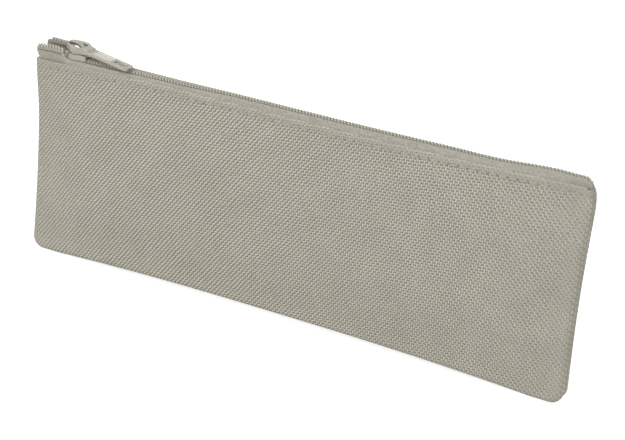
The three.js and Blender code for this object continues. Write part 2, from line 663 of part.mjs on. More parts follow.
function pullGeometry() {
  const [headHalf, tabHalf] = [HEAD_WIDTH / 2, PULL_WIDTH / 2];
  const back = -BAR_RADIUS;
  const ringEnd = BRIDGE_LENGTH - BRIDGE_FOOT - BAR_FROM_FOOT - BAR_RADIUS + RING_CLEAR;
  const middle = lerp(back, ringEnd + HEAD_RAIL, RING_WIDEST);
  const tip = PULL_REACH;
  const headOutline = (end) => {
    const shape = new THREE.Shape();
    shape.moveTo(end, -tabHalf);
    shape.lineTo(HEAD_LENGTH, -tabHalf);
    shape.bezierCurveTo(ringEnd, -tabHalf, ringEnd, -headHalf, middle, -headHalf);
    shape.bezierCurveTo(middle / 3, -headHalf, back, -headHalf * 0.6, back, -headHalf * 0.3);
    shape.lineTo(back, headHalf * 0.3);
    shape.bezierCurveTo(back, headHalf * 0.6, middle / 3, headHalf, middle, headHalf);
    shape.bezierCurveTo(ringEnd, headHalf, ringEnd, tabHalf, HEAD_LENGTH, tabHalf);
    shape.lineTo(end, tabHalf);
    return shape;
  };
  const tab = new THREE.Shape();
  tab.moveTo(HEAD_LENGTH - HEAD_RAIL, -tabHalf);
  tab.lineTo(tip - PULL_TIP_RADIUS, -tabHalf);
  tab.absarc(tip - PULL_TIP_RADIUS, -tabHalf + PULL_TIP_RADIUS, PULL_TIP_RADIUS, -Math.PI / 2, 0);
  tab.absarc(tip - PULL_TIP_RADIUS, tabHalf - PULL_TIP_RADIUS, PULL_TIP_RADIUS, 0, Math.PI / 2);
  tab.lineTo(HEAD_LENGTH - HEAD_RAIL, tabHalf);

  const ringHalf = headHalf - HEAD_RAIL;
  const ring = new THREE.Shape();
  ring.moveTo(back - BAR_RADIUS, -ringHalf * 0.5);
  ring.quadraticCurveTo(middle / 3, -ringHalf, middle, -ringHalf);
  ring.quadraticCurveTo(ringEnd, -ringHalf, ringEnd, -ringHalf * 0.3);
  ring.lineTo(ringEnd, ringHalf * 0.3);
  ring.quadraticCurveTo(ringEnd, ringHalf, middle, ringHalf);
  ring.quadraticCurveTo(middle / 3, ringHalf, back - BAR_RADIUS, ringHalf * 0.5);

  const slotRadius = SLOT_WIDTH / 2;
  const slotEnd = tip - SLOT_FROM_TIP - slotRadius;
  const slotStart = slotEnd - SLOT_LENGTH + SLOT_WIDTH;
  const slot = new THREE.Shape();
  slot.absarc(slotEnd, 0, slotRadius, -Math.PI / 2, Math.PI / 2);
  slot.absarc(slotStart, 0, slotRadius, Math.PI / 2, (3 * Math.PI) / 2);

  const panelHalf = tabHalf - PANEL_RIM;
  const panelEnd = tip - PANEL_FROM_TIP + PANEL_LENGTH;
  const panel = new THREE.Shape();
  panel.moveTo(tip - PANEL_FROM_TIP, -panelHalf);
  panel.lineTo(panelEnd, -panelHalf);
  panel.lineTo(panelEnd, panelHalf);
  panel.lineTo(tip - PANEL_FROM_TIP, panelHalf);

  const [head, flat] = [HEAD_THICK / 2, PULL_THICK / 2];
  const through = HEAD_THICK;
  const bar = new THREE.CylinderGeometry(BAR_RADIUS, BAR_RADIUS, 2 * ringHalf, 12);
  return fromSolid(
    toSolid(raise(headOutline(HEAD_LENGTH + BAR_RADIUS), -head, head))
      .subtract(toSolid(raise(ring, -through, through)))
      .add(toSolid(raise(tab, -flat, flat)))
      .subtract(toSolid(raise(slot, -through, through)))
      .subtract(toSolid(raise(panel, flat - PANEL_DEPTH, through)))
      .add(toSolid(bar)),
  );
}

// The pull lies on the zip, its tip just clear of the teeth.
const barAt = nose + BRIDGE_FROM_NOSE + BRIDGE_FOOT + BAR_FROM_FOOT + BAR_RADIUS;
const barHeight = plateTop + BRIDGE_WINDOW - BAR_FROM_ROOF - BAR_RADIUS;
const tipDrop = barHeight - teethTop - rise(barAt + PULL_REACH) - PULL_THICK / 2 - REST_GAP;
const pullMount = new THREE.Group();
pullMount.position.set(barAt, 0, barHeight);
pullMount.rotation.set(0, Math.asin(tipDrop / PULL_REACH), -degToRad(PULL_SWING), "ZYX");
pencilCase.add(pullMount);
add("slider_pull", pullGeometry(), metal, pullMount);

// Stitching

// A line of stitches along a row of points: fat in the middle of a stitch, slim between stitches.
function stitchGeometry(points, up, across) {
  const sections = points.map((p, k) => {
    const radius = k % 2 ? THREAD / 2 : THREAD / 2 - THREAD_DIP;
    return [0, 1, 2, 3].map((q) => {
      const angle = (Math.PI / 2) * q + Math.PI / 4;
      return p
        .clone()
        .addScaledVector(up(k), radius * Math.sin(angle))
        .addScaledVector(across(k), radius * Math.cos(angle));
    });
  });
  return loftGeometry(sections);
}

function topstitchGeometry(side) {
  const stitchLine = (x) => hemLine(x) - STITCH_FROM_HEM;
  const start = -sideAt(hemTop, -1) + EDGE_DEPTH;
  const end = sideAt(hemTop, 1) - EDGE_DEPTH;
  const count = 2 * Math.floor((end - start) / STITCH_LENGTH);
  const points = [];
  for (let k = 0; k <= count; k++) {
    const x = lerp(start, end, k / count);
    const z = stitchLine(x);
    points.push(new THREE.Vector3(x, side * (faceDepth(x, z) + THREAD / 2 + 2 * SEAT), z));
  }
  const up = new THREE.Vector3(0, side, 0);
  const across = new THREE.Vector3(0, 0, 1);
  return stitchGeometry(points, () => up, () => across);
}

add("topstitch_front", topstitchGeometry(FRONT), thread);
add("topstitch_back", topstitchGeometry(BACK), thread);

// Seam threads and bindings inside the case

// Points of the seam's line along one side or the bottom, clear of the corners and the zip.
function seamRun(part, sign) {
  return seamLine().filter((p) => {
    if (part === "bottom") {
      return p.part === "bottom" && Math.abs(p.x) < half - CORNER_RADIUS - CORNER_CLEAR;
    }
    const long = allowanceAt(p) === SEAM_ALLOWANCE;
    return p.part === "side" && long && p.x * sign > 0 && p.z > CORNER_RADIUS + CORNER_CLEAR;
  });
}

const insetPoint = (p, inset, depth) =>
  new THREE.Vector3(p.x + p.inward.x * inset, depth, p.z + p.inward.y * inset);

function innerStitch(run, inset, depth) {
  const points = run.map((p) => insetPoint(p, inset, depth));
  const up = new THREE.Vector3(0, -1, 0);
  const across = (k) => new THREE.Vector3(run[k].inward.x, 0, run[k].inward.y);
  return stitchGeometry(points, () => up, across);
}

// The binding folds round both turned-in edges.
function bindingGeometry(run) {
  const face = SEAM_GAP + CLOTH + SEAT;
  const end = SEAM_ALLOWANCE + SEAT;
  const start = end - BINDING_WRAP;
  const inner = [];
  const outer = [];
  for (const p of run) {
    inner.push(insetPoint(p, start, -face), insetPoint(p, end, -face));
    inner.push(insetPoint(p, end, face), insetPoint(p, start, face));
    const [far, out] = [end + BINDING, face + BINDING];
    outer.push(insetPoint(p, start, -out), insetPoint(p, far, -out));
    outer.push(insetPoint(p, far, out), insetPoint(p, start, out));
  }
  return sheetGeometry(outer, inner, gridTriangles(run.length, 4, (r, c) => r * 4 + c));
}

for (const [word, run] of [
  ["left", seamRun("side", -1)],
  ["bottom", seamRun("bottom", 0)],
  ["right", seamRun("side", 1)],
]) {
  const edge = SEAM_GAP + CLOTH + SEAT + THREAD / 2;
  add(`seam_thread_${word}`, innerStitch(run, SEAM_STITCH_AT, -edge), thread);
  add(`binding_${word}`, bindingGeometry(run), tapeCloth);
  const over = SEAM_GAP + CLOTH + 2 * SEAT + BINDING + THREAD / 2;
  const at = SEAM_ALLOWANCE + SEAT - BINDING_WRAP + BINDING_STITCH;
  add(`binding_thread_${word}`, innerStitch(run, at, -over), thread);
}

export default pencilCase;
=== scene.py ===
"""Looks of a flat pencil case: woven cloth, a coil zip, a die-cast slider and pull, and its stitching.

Shapes are written in millimetres in the CAD's frame and turned into metres as a mesh is made.
"""

import math

import bpy
from mathutils import Matrix, Vector, noise


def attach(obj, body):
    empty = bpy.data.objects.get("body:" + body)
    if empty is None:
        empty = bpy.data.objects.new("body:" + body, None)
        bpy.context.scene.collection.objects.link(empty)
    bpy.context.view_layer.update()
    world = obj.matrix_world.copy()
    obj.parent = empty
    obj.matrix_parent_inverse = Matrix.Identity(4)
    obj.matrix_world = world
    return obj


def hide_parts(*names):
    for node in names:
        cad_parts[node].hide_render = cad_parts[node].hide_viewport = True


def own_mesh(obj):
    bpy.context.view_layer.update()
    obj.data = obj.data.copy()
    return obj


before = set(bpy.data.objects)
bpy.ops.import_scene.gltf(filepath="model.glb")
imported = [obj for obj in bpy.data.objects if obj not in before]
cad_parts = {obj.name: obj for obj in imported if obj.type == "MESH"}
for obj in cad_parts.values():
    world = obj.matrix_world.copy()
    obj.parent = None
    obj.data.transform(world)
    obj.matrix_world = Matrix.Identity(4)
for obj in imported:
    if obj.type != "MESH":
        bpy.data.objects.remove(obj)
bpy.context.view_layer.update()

MM = 0.001
FRONT = -1
BACK = 1

# Sizes shared with the CAD
CASE_LENGTH = 221
CASE_HEIGHT = 80
BULGE = 5.6
BULGE_RUN = 22
TOP_RUN = 24
EDGE_DEPTH = 4
CORNER_RADIUS = 4.5
SIDE_DRAW = 0.9
LEFT_IN = 2.1
RIGHT_IN = 0.9
BOTTOM_DRAW = 2.2
BOTTOM_DRAW_POWER = 2.6
FOOT_LENGTH = 12
SEAM_ALLOWANCE = 7
CORNER_ALLOWANCE = 3
END_ALLOWANCE = 1.2
SEAM_GAP = 0.05
LAYER_GAP = 0.1
HEM_TURN = 8
TEETH_PITCH = 1.25
TEETH_BITE = 0.4
TEETH_GAP = 0.3
TEETH_THICK = 1.2
CHAIN_HALF = 2.1  # width of one row of the CAD's teeth
TAPE = 0.5
TAPE_BEND = 0.45
TAPE_SHOWN = 1.5
TAPE_TUCK = 9.5
SEAT = 0.1
EAR_SPREAD = 3.4
EAR_LEAN = 0.45
EAR_POWER = 0.9
LEFT_RISE = 0.7
LEFT_RISE_FROM = 26
LEFT_RISE_RUN = 90
RIGHT_RISE = 1.2
RIGHT_RISE_FROM = 6
RIGHT_RISE_RUN = 44
HEM_SHARE = 0.5
DIP = 0.3
DIP_AT = 32
DIP_RUN = 28
FOLD_LENGTH = 14.5
FOLD_DEPTH = 1.2
SLIDER_FROM_END = 13.3
SLIDER_PART = 6
SLIDER_WALL = 0.55
RUN_GAP = 0.2
STITCH_LENGTH = 3.5
THREAD = 0.5
COIL_THREAD_AT = 1.25
SEAM_STITCH_AT = 2.4
BINDING = 0.4
BINDING_WRAP = 3.4
BINDING_STITCH = 0.6
CORNER_CLEAR = 3

# Finer shapes that only the looks have
EAR_END = -92.8  # the parted tapes stand up left of here, beside the slider
EAR_TURN = 3.2  # over which they turn up
EAR_HEIGHT = {FRONT: 5.3, BACK: 5.2}
EAR_SLANT = {FRONT: 1.3, BACK: 3}  # how far a standing tape reaches out to the left
EAR_SLANT_RUN = 3  # the height over which it does
EAR_RADIUS = 0.9
EAR_GAP = 0.7  # the parted tapes stand off behind their hems
EAR_GAP_RUN = (94, 99)  # how far left of the middle that starts and is full
ZIP_INSET_LEFT = 2
CLOTH = 0.42
TAPE_EDGE = 0.9
TAPE_TURN = (0.3, -0.4)  # how a tape turns over beside the teeth, out and down
TAPE_ROUND = (0.1, 0.1)
TAPE_FALL = 0.25
FREE_RUN = 2.7  # away from the slider the tapes turn down right beside the teeth
FREE_HANG = 3
SLIDER_HOLD = (62, 88)  # how far left of the middle the slider's hold starts and is full
HEM_LIFT = 0.75  # away from the slider the hems lie closer under the teeth
HEM_LIFT_RUN = (-92, -50)
HEM_FOLD_DROP = 0.4
HEM_PRESS = 0.3  # how far a tape leans out onto its hem
STATION = 1.5  # spacing of the tapes' sections
CLOSE_STATION = 0.5
FINE_STATION = 0.25
TEETH_START = 1.2
TEETH_WIDTH = 2.4
END_DROP = 2.1  # the closed end of the zip bends down towards the hem
END_DROP_MOST = 0.9  # of the tape's height above the hem
LEAST_STAND = 0.5
END_ROUND = 3.2
ZIP_INSET_RIGHT = 1.5
TEETH_STOP = 0.3
END_CLOSE = 3  # over which the tapes come together where the side seam catches them
END_GAP = 0.3  # left between them there
BACK_SHORT = 2.2  # the back tape is caught this much further in
BACK_SHORT_RUN = 6.6
HEM_DROP = 0.4  # the hems turn down to the closed end
HEM_DROP_RUN = 4
# The closed zip leans over to the back: along the case, its lean in degrees and how far it lifts.
LEANS = [(-78, 0, 0), (-50, 8, 0), (-20, 18, 0.45), (30, 20, 0.5), (58, 24, 0.4)]
LEANS += [(78, 26, -0.15), (96, 30, 0.15), (104, 30, -0.15), (110, 30, -0.3)]
STITCH_FROM_HEM = 2.2
TOP_CORNER = 2.0  # the panels' top right corner is rounded in by this much
TOP_CORNER_RUN = 9
FILAMENT = 0.7  # thickness of the nylon the coil is wound from
COIL_SUNK = 0.35  # how far the tape's face rises round the coil
BACK_SHIFT = 0.4  # of a pitch, from the front row's teeth to the back row's
STITCH_ARCH = 0.42
STITCH_SUNK = 0.28
STITCH_TAPER = 0.75  # thickness of a stitch at its ends
STITCH_SPAN = (0.1, 0.9)  # how much of its length shows
INNER_SPAN = (0.08, 0.92)
STITCH_POINTS = 9
INNER_THREAD = 0.2  # radius of the stitches inside
SEWING_OVER = 0.3  # radius of the thread over a coil
SEWING_UNDER = 0.2
SEWING_DIP = 0.24
SEWING_BELOW = 0.1
SEWING_START = 0.3
SEWING_POINTS = 6  # to a pitch
LAYER_EASE = 0.02  # taken off the cloth's thickness inside
BINDING_EASE = 0.1
CAST_SKIN = 0.11  # cell of the castings' fine skin
# Soft dents of the cloth: how deep, long and high they are, and which draw of noise makes them
DENTS = [(0.35, 36, 26, 5), (0.12, 13, 10, 9)]
SEAM_SHOWS_AT = 5.4  # the edge of the seam allowance shows through the cloth
SEAM_SHOWS_WIDTH = 1.1
SEAM_SHOWS_RIGHT = 0.3
SEAM_SHOWS_ELSE = 0.12
DENTS_IN = (2.5, 9)  # the dents start and are full this far in from the seam
DENTS_BELOW = 6
STITCH_HOLLOW = 0.12
STITCH_HOLLOW_WIDTH = 0.55
COLUMN = STITCH_LENGTH / 6  # spacing of the cloth's points along the case

# Sizes of the materials' patterns
WARP_STEP = 0.862  # from one yarn of the cloth to the next
WEFT_STEP = 1.0204
WEFT_SLOPE = 0.102  # how much the weft climbs to the right
YARN_STRAY = 0.6  # how far a yarn strays, and over what length
YARN_STRAY_RUN = 3.03
CROWN_RUN = 1.1111  # over which the yarns' crowns stand higher and lower
PATCH_RUN = 9.091  # of paler and darker patches
FIBRE_RUN = 0.4348
TAPE_END_STEP = 0.2  # from one yarn of the tapes to the next
TAPE_PICK_STEP = 1 / 3
TAPE_SPECKLE_RUN = 0.7143
DYE_RUN = 1.4286
PLY_STEP = 0.4488  # from one ply of the thread to the next
CAST_GRAIN = 0.625
TUMBLE_RUN = 4  # of duller and brighter metal
SUNK_REACH = (11.2, 20)  # of the pull's sunk panel, from the bar
SUNK_HALF = 1.3
SUNK_EDGE = 0.4

# The pull in metres: its bar, the way to its tip and the way across
PULL_BAR = (-0.0953, 0, 0.08485)
PULL_WAY = (0.9886, -0.0865, -0.1236)
PULL_SIDE = (0.0872, 0.9962, 0)

half = CASE_LENGTH / 2
tape_top = CASE_HEIGHT - TEETH_THICK - SEAT
hem_top = tape_top - TAPE_SHOWN
tape_foot = hem_top - TAPE_TUCK
zip_left = -half + LEFT_IN + ZIP_INSET_LEFT
zip_right = half - ZIP_INSET_RIGHT
fold_start = zip_right - FOLD_LENGTH
nose = -half + SLIDER_FROM_END
part_start = nose + SLIDER_PART
run_out = CHAIN_HALF + 2 * RUN_GAP + SLIDER_WALL
tape_out = run_out + TAPE_BEND
hem_layers = 2 * SEAT + LAYER_GAP + 2 * CLOTH


def clamp(value, low=0.0, high=1.0):
    return max(low, min(high, value))


def lerp(a, b, share):
    return a + (b - a) * share


def smoothstep(value, low, high):
    share = clamp((value - low) / (high - low))
    return share * share * (3 - 2 * share)


# Lines of the case


def spread(x):
    """How far the rows of teeth stand off from the middle, as they part round the slider's wedge."""
    return EAR_SPREAD * clamp((part_start - x) / (part_start - zip_left)) ** EAR_POWER


def upright(x):
    """How far a parted tape has turned up, from lying flat to standing."""
    return smoothstep(EAR_END - x, 0, EAR_TURN)


def fold(x):
    return smoothstep(x, fold_start, zip_right)


def rise_left(x):
    start = half - LEFT_RISE_FROM
    return LEFT_RISE * smoothstep(-x, start - LEFT_RISE_RUN, start)


def rise_right(x):
    start = half - RIGHT_RISE_FROM
    return RIGHT_RISE * smoothstep(x, start - RIGHT_RISE_RUN, start)


def dip(x):
    return DIP * math.exp(-(((x - DIP_AT) / DIP_RUN) ** 2))


def rise(x):
    return rise_left(x) + rise_right(x) - dip(x)


def hem_line(x):
    past = clamp((x - half + TOP_CORNER + HEM_DROP_RUN) / HEM_DROP_RUN)
    lift = HEM_LIFT * smoothstep(x, *HEM_LIFT_RUN)
    drop = HEM_FOLD_DROP * fold(x) + HEM_DROP * (1 - math.sqrt(1 - past**2))
    return hem_top + rise_left(x) + HEM_SHARE * rise_right(x) - dip(x) + lift - drop


def by_slider(x):
    """One where the slider holds the tapes flat, none along the closed zip."""
    return smoothstep(-x, *SLIDER_HOLD)


def tape_lean(x):
    """How far a tape hangs from the middle at the hem."""
    return lerp(lerp(FREE_HANG, tape_out, by_slider(x)) + EAR_LEAN * spread(x), FOLD_DEPTH, fold(x))


def hem_depth(x):
    return tape_lean(x) + hem_layers


def lean_and_lift(x):
    """The closed zip's lean and lift at a place along the case."""
    for (start, *low), (end, *high) in zip(LEANS, LEANS[1:]):
        if x <= end:
            share = smoothstep(x, start, end)
            return [lerp(a, b, share) for a, b in zip(low, high)]
    return LEANS[-1][1:]


def bottom_at(x):
    share = clamp(abs(x) / (half - FOOT_LENGTH))
    return BOTTOM_DRAW * (1 - share**BOTTOM_DRAW_POWER)


def side_at(z, sign):
    """How far a side reaches from the middle at a height."""
    share = clamp((z - CORNER_RADIUS) / (hem_top - CORNER_RADIUS))
    inside = LEFT_IN * share
    if sign > 0:
        past = clamp((z - hem_top - HEM_LIFT + TOP_CORNER_RUN) / TOP_CORNER_RUN)
        inside = RIGHT_IN * (1 - share) + TOP_CORNER * (1 - math.sqrt(1 - past**2))
    return half - SIDE_DRAW * math.sin(math.pi * share) - inside


def face_depth(x, z):
    """Half the thickness of the case at a point of a face."""
    from_side = side_at(z, 1 if x > 0 else -1) - abs(x) - EDGE_DEPTH / 2
    from_bottom = z - bottom_at(x) - EDGE_DEPTH / 2
    full = smoothstep(from_side, 0, BULGE_RUN) * smoothstep(from_bottom, 0, BULGE_RUN)
    face = lerp(EDGE_DEPTH, BULGE, full)
    return lerp(hem_depth(x), face, smoothstep(hem_line(x) - z, 0, TOP_RUN))


STITCH_START = EDGE_DEPTH - side_at(hem_top, -1)


# Mesh helpers


def add_piece(name, points, faces, slot, material, body="case"):
    """A piece from points in millimetres, riding on a body of the CAD."""
    mesh = bpy.data.meshes.new(name)
    mesh.from_pydata([[c * MM for c in p] for p in points], [], faces)
    mesh.shade_smooth()
    mesh.materials.append(material)
    piece = bpy.data.objects.new(name, mesh)
    bpy.context.scene.collection.objects.link(piece)
    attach(piece, body)
    return piece


def grid_faces(rows, columns, index):
    faces = []
    for r in range(rows - 1):
        for c in range(columns - 1):
            faces.append((index(r, c), index(r, c + 1), index(r + 1, c + 1), index(r + 1, c)))
    return faces


def thicken(piece, thickness, outward=0.0):
    """Gives a sheet its thickness inwards from its modelled face, or a share of it outwards."""
    solid = piece.modifiers.new("thickness", "SOLIDIFY")
    solid.thickness = thickness * MM
    solid.offset = 2 * outward - 1
    solid.use_even_offset = False
    return solid


def tube(points, radius, ring=6, flat=1.0, up=None):
    """Points and faces of a closed tube along a line, its section flattened along the up directions."""
    lines = [Vector(p) for p in points]
    made = []
    last = len(lines) - 1
    for k, p in enumerate(lines):
        along = (lines[min(k + 1, last)] - lines[max(k - 1, 0)]).normalized()
        lift = Vector(up[k] if up else (0, 0, 1))
        across = along.cross(lift).normalized()
        lift = across.cross(along)
        size = radius[k] if isinstance(radius, list) else radius
        for q in range(ring):
            angle = 2 * math.pi * q / ring
            made.append(p + across * (size * math.cos(angle)) + lift * (size * flat * math.sin(angle)))
    faces = grid_faces(len(lines), ring + 1, lambda r, c: r * ring + -c % ring)
    faces.append(tuple(range(ring)))
    faces.append(tuple(last * ring + q for q in reversed(range(ring))))
    return made, faces


def join(parts):
    """One list of points and one of faces from several."""
    points = []
    faces = []
    for more_points, more_faces in parts:
        start = len(points)
        points.extend(more_points)
        faces.extend(tuple(start + k for k in face) for face in more_faces)
    return points, faces


# Materials


def linear(hex_colour):
    """A linear colour from an sRGB hex colour."""
    parts = [int(hex_colour[k : k + 2], 16) / 255 for k in (1, 3, 5)]
    return [c / 12.92 if c <= 0.04045 else ((c + 0.055) / 1.055) ** 2.4 for c in parts] + [1]


def add_node(tree, kind, inputs, give=0, **settings):
    """Adds a node, sets its settings, links or sets its inputs, and gives one of its outputs.

    The inputs are a list in the node's own order, or a dictionary by name or number.
    """
    made = tree.nodes.new(kind)
    for name, value in settings.items():
        setattr(made, name, value)
    for name, value in inputs.items() if isinstance(inputs, dict) else enumerate(inputs):
        if isinstance(value, bpy.types.NodeSocket):
            tree.links.new(value, made.inputs[name])
        else:
            made.inputs[name].default_value = value
    return made.outputs[give] if made.outputs else None


def start_material(name):
    """A new material with an empty tree, and its object coordinates."""
    made = bpy.data.materials.new(name)
    made.use_nodes = True
    tree = made.node_tree
    tree.nodes.clear()
    return made, tree, add_node(tree, "ShaderNodeTexCoord", [], give="Object")


def finish_material(tree, inputs):
    shader = add_node(tree, "ShaderNodeBsdfPrincipled", inputs)
    add_node(tree, "ShaderNodeOutputMaterial", {"Surface": shader})


def per_metre(size):
    """How often a pattern of a size in millimetres repeats in a metre."""
    return 1 / (size * MM)


def yarn_angle(tree, where, per_mm):
    """The angle of a yarn's wave at a place, half a turn from one yarn to the next."""
    steps = [math.pi * per_metre(1) * c for c in per_mm]
    return add_node(tree, "ShaderNodeVectorMath", [where, steps], give="Value", operation="DOT_PRODUCT")


def yarn_wave(tree, kind, first, second, turn="SINE"):
    """The sine or cosine of the sum or the difference of two yarns' angles."""
    angle = add_node(tree, "ShaderNodeMath", [first, second], operation=kind)
    return add_node(tree, "ShaderNodeMath", [angle], operation=turn)


def blend_heights(tree, parts):
    """The sum of heights, each times its share."""
    total = 0.0
    for height, share in parts:
        total = add_node(tree, "ShaderNodeMath", [height, share, total], operation="MULTIPLY_ADD")
    return total


def times_levels(tree, start, changes):
    """A value times levels that change evenly, each given as what it follows, from, to and its two levels."""
    total = start
    for change in changes:
        level = add_node(tree, "ShaderNodeMapRange", change)
        total = add_node(tree, "ShaderNodeMath", [total, level], operation="MULTIPLY")
    return total


def cloth_yarns(tree, where, along):
    """Height of the woven yarns, and how high each crown stands."""
    # The yarns don't lie quite straight.
    stray = {"Vector": where, "Scale": per_metre(YARN_STRAY_RUN), "Detail": 2}
    strayed = add_node(tree, "ShaderNodeTexNoise", stray, give="Color")
    strayed = add_node(tree, "ShaderNodeVectorMath", [strayed, (-0.5, -0.5, -0.5)], operation="ADD")
    shorter = {0: strayed, "Scale": YARN_STRAY * MM}
    strayed = add_node(tree, "ShaderNodeVectorMath", shorter, operation="SCALE")
    laid = add_node(tree, "ShaderNodeVectorMath", [where, strayed], operation="ADD")
    warp = yarn_angle(tree, laid, (1 / WARP_STEP, 0, 0))
    weft = yarn_angle(tree, laid, (-WEFT_SLOPE / WEFT_STEP, 0, 1 / WEFT_STEP))
    rising = yarn_wave(tree, "SUBTRACT", warp, weft)
    falling = yarn_wave(tree, "ADD", warp, weft)
    beside = yarn_wave(tree, "ADD", warp, weft, turn="COSINE")
    rows = yarn_wave(tree, "ADD", weft, weft, turn="COSINE")
    ends = yarn_wave(tree, "ADD", warp, warp, turn="COSINE")
    # One diagonal of the weave shows alone at the left, and both show at the right, as the light falls on the
    # crowns from the upper left at the left end and from above at the right; the colour takes this up as
    # painted light and shade.
    shares = [
        (rising, [(-30, 90, 0.97, 0.24)]),
        (falling, [(-35, 65, 0.12, -0.41)]),
        (beside, [(-50, 5, 0, 0.29), (30, 90, 1, 0.2)]),
        (rows, [(-80, 10, 0.47, 0.64), (50, 90, 1, 0.52)]),
        (ends, [(-70, 20, 0.17, 0.58), (68, 90, 1, 0.55)]),
    ]
    parts = []
    for height, changes in shares:
        levels = [(along, low * MM, high * MM, *ends_at) for low, high, *ends_at in changes]
        parts.append((height, times_levels(tree, 1, levels)))
    yarns = blend_heights(tree, parts)
    lump = {"Vector": where, "Scale": per_metre(CROWN_RUN), "Detail": 2}
    uneven = add_node(tree, "ShaderNodeTexNoise", lump)
    crown = add_node(tree, "ShaderNodeMapRange", [uneven, 0.3, 0.7, 0.37, 1.63])
    # The yarns are drawn flatter towards both ends.
    drawn = [(along, -106 * MM, -72 * MM, 0.58, 1), (along, 97 * MM, 107 * MM, 1, 0.65)]
    crown = times_levels(tree, crown, drawn)
    return add_node(tree, "ShaderNodeMath", [yarns, crown], operation="MULTIPLY"), crown


def needle_holes(tree, along, below_hem):
    """How much of a needle hole is at a place, for its dip and its painted shade: one to a stitch, along the
    topstitch.
    """
    step = add_node(tree, "ShaderNodeMath", [along, -STITCH_START * MM], operation="ADD")
    turns = 2 * math.pi * per_metre(STITCH_LENGTH)
    step = add_node(tree, "ShaderNodeMath", [step, turns], operation="MULTIPLY")
    step = add_node(tree, "ShaderNodeMath", [step], operation="COSINE")
    off_line = add_node(tree, "ShaderNodeMath", [below_hem, -STITCH_FROM_HEM], operation="ADD")
    off_line = add_node(tree, "ShaderNodeMath", [off_line], operation="ABSOLUTE")
    return times_levels(tree, 1, [(step, 0.45, 0.95, 0, 1), (off_line, 0.15, 0.65, 1, 0)])


def woven_cloth():
    """Plain-woven, coated polyester: uneven yarn crowns in the bump, and in the colour painted light on the
    crowns and painted shade in the gaps between.
    """
    made, tree, where = start_material("plain_woven_polyester")
    along = add_node(tree, "ShaderNodeSeparateXYZ", [where])
    below_hem = add_node(tree, "ShaderNodeAttribute", [], give="Fac", attribute_name="below_hem")
    yarns, crown = cloth_yarns(tree, where, along)
    # The hem is pressed flat above its stitches.
    yarns = times_levels(tree, yarns, [(below_hem, 1.5, 2.9, 0.45, 1)])
    patches = {"Vector": where, "Scale": per_metre(PATCH_RUN), "Detail": 2}
    patchy = add_node(tree, "ShaderNodeTexNoise", patches)
    # Single fibres are too fine to show, so they are drawn about ten times coarser.
    fuzz = {"Vector": where, "Scale": per_metre(FIBRE_RUN), "Detail": 1}
    fibres = add_node(tree, "ShaderNodeTexNoise", fuzz)
    # Painted shade: the needle holes are sunk in the bump and darkened in the colour.
    hole = needle_holes(tree, along, below_hem)
    hole = add_node(tree, "ShaderNodeMath", [hole, crown], operation="MULTIPLY")
    hole = times_levels(tree, hole, [(patchy, 0.38, 0.62, 0.3, 1.3)])
    height = blend_heights(tree, [(yarns, 1.0), (fibres, 1.2), (hole, -1.1)])
    # Painted highlight: the hem's fold is painted paler where its top catches the light, less beside the
    # slider.
    fold_highlight = times_levels(tree, 1, [(below_hem, 0.05, 0.7, 0.25, 0), (along, -100 * MM, -60 * MM, 0.1, 1)])
    # The yarns' height also sets the colour: painted light on the crowns and painted shade in the gaps
    # between.
    tone = blend_heights(tree, [(height, 1.0), (patchy, 0.5), (fold_highlight, 1.0)])
    shade = add_node(tree, "ShaderNodeMapRange", [tone, -0.25, 1.95, 0, 1])
    shade = add_node(tree, "ShaderNodeMath", [shade, 1.25], operation="POWER")
    colours = {0: shade, 6: linear("#908c80"), 7: linear("#dad6c8")}
    colour = add_node(tree, "ShaderNodeMix", colours, give=2, data_type="RGBA")
    bump = add_node(tree, "ShaderNodeBump", {"Height": height, "Strength": 1, "Distance": 0.06 * MM})
    inputs = {"Base Color": colour, "Roughness": 0.85, "Normal": bump, "Specular IOR Level": 0.3}
    finish_material(tree, inputs)
    return made


def narrow_tape(name, low, high, sewn):
    """Narrow woven polyester tape: a fine close weave, smoother than the cloth and a little speckled; its
    sewn colour is painted shade under a coil.
    """
    made, tree, where = start_material(name)
    ends = yarn_angle(tree, where, (1 / TAPE_END_STEP, 0, 0))
    picks = yarn_angle(tree, where, (0, 1 / TAPE_PICK_STEP, 1 / TAPE_PICK_STEP))
    weave = yarn_wave(tree, "SUBTRACT", ends, picks)
    # The weave is too fine to show from the photograph's distance, so a coarser speckle stands for it there.
    speckle = {"Vector": where, "Scale": per_metre(TAPE_SPECKLE_RUN), "Detail": 2}
    uneven = add_node(tree, "ShaderNodeTexNoise", speckle)
    height = blend_heights(tree, [(weave, 0.3), (uneven, 1.6)])
    shade = add_node(tree, "ShaderNodeMapRange", [height, 0.1, 1.5, 0, 1])
    colours = {0: shade, 6: linear(low), 7: linear(high)}
    colour = add_node(tree, "ShaderNodeMix", colours, give=2, data_type="RGBA")
    # Painted shade: the tape is darkened where it lies under a coil.
    painted_coil_shade = add_node(tree, "ShaderNodeAttribute", [], give="Fac", attribute_name="painted_coil_shade")
    colours = {0: painted_coil_shade, 6: colour, 7: linear(sewn)}
    colour = add_node(tree, "ShaderNodeMix", colours, give=2, data_type="RGBA")
    bump = add_node(tree, "ShaderNodeBump", {"Height": height, "Strength": 1, "Distance": 0.05 * MM})
    inputs = {"Base Color": colour, "Roughness": 0.8, "Normal": bump, "Specular IOR Level": 0.3}
    finish_material(tree, inputs)
    return made


def drawn_nylon():
    """Drawn nylon filament: smooth and a little glossy, its dye slightly cloudy."""
    made, tree, where = start_material("drawn_nylon_filament")
    dye = {"Vector": where, "Scale": per_metre(DYE_RUN), "Detail": 2}
    cloudy = add_node(tree, "ShaderNodeTexNoise", dye)
    colours = {0: cloudy, 6: linear("#c8c4b7"), 7: linear("#dad6c9")}
    colour = add_node(tree, "ShaderNodeMix", colours, give=2, data_type="RGBA")
    inputs = {"Base Color": colour, "Roughness": 0.45, "IOR": 1.53}
    finish_material(tree, inputs)
    return made


